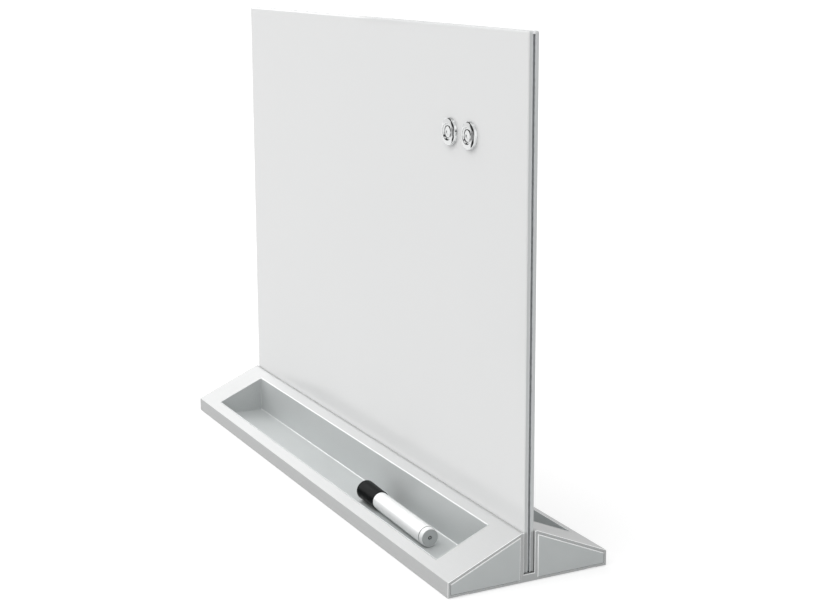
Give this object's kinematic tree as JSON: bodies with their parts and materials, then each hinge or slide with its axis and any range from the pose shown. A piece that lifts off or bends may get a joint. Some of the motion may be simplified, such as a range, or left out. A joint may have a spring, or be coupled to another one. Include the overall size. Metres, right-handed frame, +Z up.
{
  "type": "desk whiteboard",
  "caption": "Double-sided magnetic glass whiteboard that stands in the channel of a low base with a pen tray on each side, with disc magnets and a capped marker.",
  "frame": {"origin": "middle of the base on the desk surface, under the board's middle plane", "axes": "+X along the board to the right as seen from the front, +Y to the back through the board, +Z up; the front tray with the marker and the magnets are on the -Y side"},
  "size_m": [0.6, 0.1546, 0.458],
  "materials": {
    "anodised_profile": "fine satin silver-grey anodised",
    "tray_metal": "satin silver-grey paint",
    "cap_plastic": "fine moulded texture, silver grey",
    "liner_felt": "dark grey felt strip",
    "black_rubber": "matt",
    "white_glass": "back-painted white, polished edges",
    "backing_steel": "zinc coated",
    "core_plastic": "grey rigid sheet",
    "spacer_aluminium": "satin",
    "bright_chrome": "polished",
    "magnet_nickel": "nickel plated",
    "clear_pad": "thin translucent grey pad",
    "white_plastic": "glossy white",
    "black_plastic": "glossy black",
    "grey_plastic": "mid grey",
    "nib_felt": "black felt",
    "reservoir_fibre": "ink-soaked fibre"
  },
  "bodies": {
    "base": {"base_profile": "anodised_profile", "front_tray": "tray_metal", "rear_tray": "tray_metal", "end_cap_front_left": "cap_plastic", "end_cap_front_right": "cap_plastic", "end_cap_rear_left": "cap_plastic", "end_cap_rear_right": "cap_plastic", "channel_liner_front": "liner_felt", "channel_liner_rear": "liner_felt", "setting_pads": "black_rubber", "non_slip_feet": "black_rubber"},
    "board": {"front_glass_panel": "white_glass", "front_steel_sheet": "backing_steel", "core_sheet": "core_plastic", "top_spacer_strip": "spacer_aluminium", "rear_steel_sheet": "backing_steel", "rear_glass_panel": "white_glass"},
    "magnet_left": {"magnet_shell_left": "bright_chrome", "magnet_disc_left": "magnet_nickel", "magnet_pad_left": "clear_pad"},
    "magnet_right": {"magnet_shell_right": "bright_chrome", "magnet_disc_right": "magnet_nickel", "magnet_pad_right": "clear_pad"},
    "marker": {"marker_barrel": "white_plastic", "marker_end_plug": "white_plastic", "marker_end_disc": "grey_plastic", "marker_nozzle": "black_plastic", "marker_nib": "nib_felt", "marker_reservoir": "reservoir_fibre"},
    "marker_cap": {"marker_cap": "black_plastic", "marker_cap_seal": "grey_plastic"}
  },
  "joints": [
    {"name": "board_lift", "type": "slide", "parent": "base", "child": "board", "axis": [0, 0, 1], "range_m": [0, 0.05]},
    {"name": "magnet_left_pull", "type": "slide", "parent": "board", "child": "magnet_left", "axis": [0, -1, 0], "range_m": [0, 0.04]},
    {"name": "magnet_right_pull", "type": "slide", "parent": "board", "child": "magnet_right", "axis": [0, -1, 0], "range_m": [0, 0.04]},
    {"name": "marker_lift", "type": "slide", "parent": "base", "child": "marker", "axis": [0, 0, 1], "range_m": [0, 0.1]},
    {"name": "marker_cap_pull", "type": "slide", "parent": "marker", "child": "marker_cap", "axis": [-0.9998, 0.0175, 0.0062], "range_m": [0, 0.05]}
  ]
}
